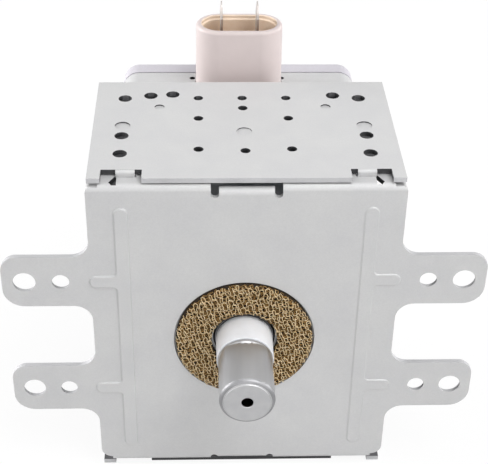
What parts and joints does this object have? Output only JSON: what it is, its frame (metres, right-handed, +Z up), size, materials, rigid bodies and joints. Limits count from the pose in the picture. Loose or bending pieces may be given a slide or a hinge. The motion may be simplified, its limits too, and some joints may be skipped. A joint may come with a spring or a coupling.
{
  "type": "magnetron",
  "caption": "Cooker magnetron: a folded steel yoke with a ceramic and metal antenna in a mesh gasket in front, mounting ears at the sides and a filter box with a spade connector behind.",
  "frame": {"origin": "middle of the underside of the overall box, level with the yoke's lower face", "axes": "+X across the ears, -Y out of the mounting face along the antenna, +Z up through the connector"},
  "size_m": [0.1266, 0.1036, 0.1155],
  "materials": {
    "zinc_coated_steel": "matte zinc coating",
    "drawn_steel": "satin, drawn",
    "knitted_brass": "bright knitted wire",
    "alumina": "smooth, unglazed",
    "copper": "bare copper",
    "soft_iron": "plain iron",
    "ferrite": "matte, sintered",
    "aluminium_fin": "plain sheet",
    "tungsten": "drawn wire",
    "molybdenum": "drawn rod",
    "case_plastic": "moulded, off-white",
    "cast_epoxy": "cast",
    "tinned_brass": "tin plate",
    "enamelled_copper": "enamel"
  },
  "bodies": {
    "root": {"yoke_frame": "zinc_coated_steel", "front_plate": "zinc_coated_steel", "filter_box": "zinc_coated_steel", "filter_lid": "zinc_coated_steel", "capacitor_plate": "zinc_coated_steel", "antenna_cap": "drawn_steel", "exhaust_seal": "drawn_steel", "box_rivet_1": "drawn_steel", "box_rivet_2": "drawn_steel", "box_rivet_3": "drawn_steel", "box_rivet_4": "drawn_steel", "rf_gasket": "knitted_brass", "output_ceramic": "alumina", "stem_ceramic": "alumina", "exhaust_tube": "copper", "antenna_lead": "copper", "anode_cylinder": "copper", "vane_1": "copper", "vane_2": "copper", "vane_3": "copper", "vane_4": "copper", "vane_5": "copper", "vane_6": "copper", "vane_7": "copper", "vane_8": "copper", "vane_9": "copper", "vane_10": "copper", "front_inner_strap": "copper", "front_outer_strap": "copper", "rear_inner_strap": "copper", "rear_outer_strap": "copper", "output_sleeve": "soft_iron", "stem_sleeve": "soft_iron", "front_pole_piece": "soft_iron", "rear_pole_piece": "soft_iron", "front_magnet": "ferrite", "rear_magnet": "ferrite", "left_choke_core": "ferrite", "right_choke_core": "ferrite", "cooling_fin_1": "aluminium_fin", "cooling_fin_2": "aluminium_fin", "cooling_fin_3": "aluminium_fin", "cooling_fin_4": "aluminium_fin", "cooling_fin_5": "aluminium_fin", "filament": "tungsten", "front_end_hat": "molybdenum", "rear_end_hat": "molybdenum", "centre_lead": "molybdenum", "side_lead": "molybdenum", "connector_case": "case_plastic", "capacitor_body": "cast_epoxy", "left_spade": "tinned_brass", "right_spade": "tinned_brass", "left_stem_terminal": "tinned_brass", "right_stem_terminal": "tinned_brass", "left_choke_coil": "enamelled_copper", "right_choke_coil": "enamelled_copper"}
  },
  "joints": []
}
